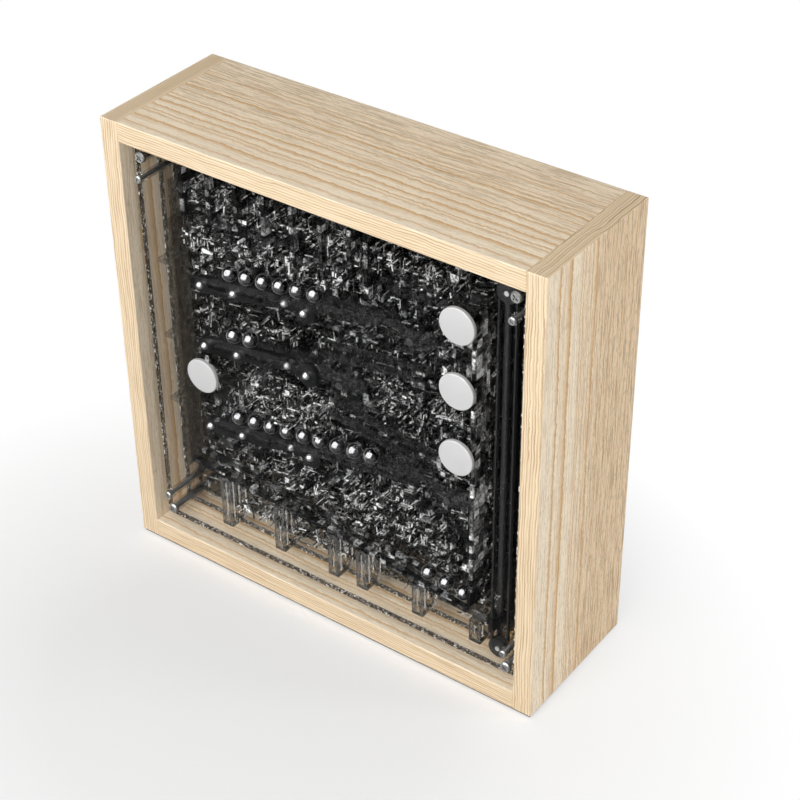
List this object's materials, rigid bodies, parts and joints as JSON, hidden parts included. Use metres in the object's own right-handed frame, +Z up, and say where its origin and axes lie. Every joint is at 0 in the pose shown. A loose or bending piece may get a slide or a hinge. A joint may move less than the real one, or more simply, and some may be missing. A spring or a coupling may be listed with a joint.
{
  "type": "rolling ball clock",
  "caption": "Tabletop clock in a square ash frame: steel balls on sloping clear tracks show the time, raised by a belt lift.",
  "frame": {"origin": "on the ground under the middle of the clock", "axes": "+Z up, -Y towards the viewer, +X to the right seen from the front; metres"},
  "size_m": [0.3, 0.0984, 0.3015],
  "materials": {
    "ash": "satin",
    "pad": "matte",
    "clear": "polished",
    "black_panel": "matte",
    "lever_black": "satin",
    "screw_steel": "satin",
    "dark_steel": "satin",
    "stud_chrome": "polished",
    "ball_steel": "polished",
    "pine": "matte",
    "belt_black": "matte",
    "pulley_black": "matte",
    "shaft_steel": "satin",
    "bronze": "satin",
    "gear_white": "satin",
    "motor_steel": "satin",
    "board_green": "gloss",
    "button_white": "satin"
  },
  "bodies": {
    "case": {"frame_top": "ash", "frame_bottom": "ash", "frame_left": "ash", "frame_right": "ash", "base_pad": "pad", "front_plate": "clear", "track_plate": "clear", "bearing_plate": "clear", "back_plate": "black_panel", "rear_cover": "black_panel", "corner_blocks": "pine", "corner_screws": "screw_steel", "small_screws": "screw_steel", "cover_screws": "dark_steel", "standoff_tubes": "clear", "row_rails": "clear", "transfer_rails": "clear", "trough_rails": "clear", "trough_brackets": "clear", "left_guide": "clear", "lift_wall": "clear", "clear_fins": "clear", "tray_pins": "shaft_steel", "lever_springs": "shaft_steel", "lift_belt": "belt_black", "guide_rod": "shaft_steel", "rod_blocks": "clear", "shaft_bushes": "bronze", "gear_motor": "motor_steel", "circuit_board": "board_green", "power_jack": "black_panel", "button_springs": "shaft_steel"},
    "minute_gate": {"minute_lever": "lever_black", "minute_studs": "stud_chrome"},
    "minute_rod": {"minute_link": "clear"},
    "minute_scoop": {"minute_tray": "clear"},
    "minute_ball_set": {"minute_balls": "ball_steel"},
    "ten_minute_gate": {"ten_minute_lever": "lever_black", "ten_minute_studs": "stud_chrome"},
    "ten_minute_rod": {"ten_minute_link": "clear"},
    "ten_minute_scoop": {"ten_minute_tray": "clear"},
    "ten_minute_ball_set": {"ten_minute_balls": "ball_steel"},
    "hour_gate": {"hour_lever": "lever_black", "hour_studs": "stud_chrome"},
    "hour_rod": {"hour_link": "clear"},
    "hour_scoop": {"hour_tray": "clear"},
    "hour_ball_set": {"hour_balls": "ball_steel"},
    "reserve_ball_set": {"reserve_balls": "ball_steel"},
    "lift": {"carriage": "lever_black", "lift_cup": "clear"},
    "lower_shaft": {"drive_pulley": "pulley_black", "drive_shaft": "shaft_steel"},
    "upper_shaft": {"idler_pulley": "pulley_black", "idler_shaft": "shaft_steel"},
    "motor_wheel": {"motor_gear": "gear_white"},
    "gate": {"feed_gate": "lever_black"},
    "minute_key": {"minute_button": "button_white"},
    "ten_minute_key": {"ten_minute_button": "button_white"},
    "hour_key": {"hour_button": "button_white"},
    "release_key": {"release_button": "button_white"}
  },
  "joints": [
    {"name": "minute_lever_hinge", "type": "hinge", "parent": "case", "child": "minute_gate", "pos_m": [-0.02021, -0.031, 0.20862], "axis": [0, -1, 0], "range_deg": [0, 6], "stiffness_Nm_per_rad": 0.05},
    {"name": "minute_link_hinge", "type": "hinge", "parent": "minute_gate", "child": "minute_rod", "pos_m": [-0.03399, -0.031, 0.21042], "axis": [0, -1, 0], "range_deg": [-6.5, 0.5]},
    {"name": "minute_tray_hinge", "type": "hinge", "parent": "case", "child": "minute_scoop", "pos_m": [0.05481, -0.031, 0.21917], "axis": [0, -1, 0], "range_deg": [-0.5, 6.5]},
    {"name": "minute_ball_roll", "type": "slide", "parent": "case", "child": "minute_ball_set", "axis": [0.9903, 0, 0.1392], "range_m": [0, 0.0506]},
    {"name": "ten_minute_lever_hinge", "type": "hinge", "parent": "case", "child": "ten_minute_gate", "pos_m": [-0.02021, -0.031, 0.16564], "axis": [0, -1, 0], "range_deg": [0, 6], "stiffness_Nm_per_rad": 0.05},
    {"name": "ten_minute_link_hinge", "type": "hinge", "parent": "ten_minute_gate", "child": "ten_minute_rod", "pos_m": [-0.03399, -0.031, 0.16743], "axis": [0, -1, 0], "range_deg": [-6.5, 0.5]},
    {"name": "ten_minute_tray_hinge", "type": "hinge", "parent": "case", "child": "ten_minute_scoop", "pos_m": [0.0047, -0.031, 0.16914], "axis": [0, -1, 0], "range_deg": [-0.5, 6.5]},
    {"name": "ten_minute_ball_roll", "type": "slide", "parent": "case", "child": "ten_minute_ball_set", "axis": [0.9903, 0, 0.1392], "range_m": [0, 0.0506]},
    {"name": "hour_lever_hinge", "type": "hinge", "parent": "case", "child": "hour_gate", "pos_m": [-0.02021, -0.031, 0.10608], "axis": [0, -1, 0], "range_deg": [0, 6], "stiffness_Nm_per_rad": 0.05},
    {"name": "hour_link_hinge", "type": "hinge", "parent": "hour_gate", "child": "hour_rod", "pos_m": [-0.03399, -0.031, 0.10788], "axis": [0, -1, 0], "range_deg": [-6.5, 0.5]},
    {"name": "hour_tray_hinge", "type": "hinge", "parent": "case", "child": "hour_scoop", "pos_m": [0.07986, -0.031, 0.12014], "axis": [0, -1, 0], "range_deg": [-0.5, 6.5]},
    {"name": "hour_ball_roll", "type": "slide", "parent": "case", "child": "hour_ball_set", "axis": [0.9903, 0, 0.1392], "range_m": [0, 0.03795]},
    {"name": "reserve_ball_roll", "type": "slide", "parent": "case", "child": "reserve_ball_set", "axis": [-0.9903, 0, 0.1392], "range_m": [0, 0.042]},
    {"name": "lift_slide", "type": "slide", "parent": "case", "child": "lift", "axis": [0, 0, 1], "range_m": [0, 0.2117]},
    {"name": "lower_shaft_turn", "type": "hinge", "parent": "case", "child": "lower_shaft", "pos_m": [0.1179, 0.016, 0.0285], "axis": [0, 1, 0], "continuous": true},
    {"name": "upper_shaft_turn", "type": "hinge", "parent": "case", "child": "upper_shaft", "pos_m": [0.1179, 0.016, 0.2745], "axis": [0, 1, 0], "continuous": true},
    {"name": "motor_wheel_turn", "type": "hinge", "parent": "case", "child": "motor_wheel", "pos_m": [0.1034, 0.016, 0.0285], "axis": [0, 1, 0], "continuous": true},
    {"name": "feed_gate_slide", "type": "slide", "parent": "case", "child": "gate", "axis": [0, 0, 1], "range_m": [0, 0.0105]},
    {"name": "minute_button_push", "type": "slide", "parent": "case", "child": "minute_key", "axis": [0, 1, 0], "range_m": [0, 0.0022], "stiffness_N_per_m": 400},
    {"name": "ten_minute_button_push", "type": "slide", "parent": "case", "child": "ten_minute_key", "axis": [0, 1, 0], "range_m": [0, 0.0022], "stiffness_N_per_m": 400},
    {"name": "hour_button_push", "type": "slide", "parent": "case", "child": "hour_key", "axis": [0, 1, 0], "range_m": [0, 0.0022], "stiffness_N_per_m": 400},
    {"name": "release_button_push", "type": "slide", "parent": "case", "child": "release_key", "axis": [0, 1, 0], "range_m": [0, 0.0022], "stiffness_N_per_m": 400}
  ],
  "couplings": [
    {"joint": "minute_link_hinge", "follows": "minute_lever_hinge", "ratio": -1},
    {"joint": "minute_tray_hinge", "follows": "minute_lever_hinge", "ratio": 1},
    {"joint": "ten_minute_link_hinge", "follows": "ten_minute_lever_hinge", "ratio": -1},
    {"joint": "ten_minute_tray_hinge", "follows": "ten_minute_lever_hinge", "ratio": 1},
    {"joint": "hour_link_hinge", "follows": "hour_lever_hinge", "ratio": -1},
    {"joint": "hour_tray_hinge", "follows": "hour_lever_hinge", "ratio": 1},
    {"joint": "lower_shaft_turn", "follows": "lift_slide", "rad_per_m": 181.82},
    {"joint": "upper_shaft_turn", "follows": "lift_slide", "rad_per_m": 181.82},
    {"joint": "motor_wheel_turn", "follows": "lift_slide", "rad_per_m": -90.909}
  ]
}
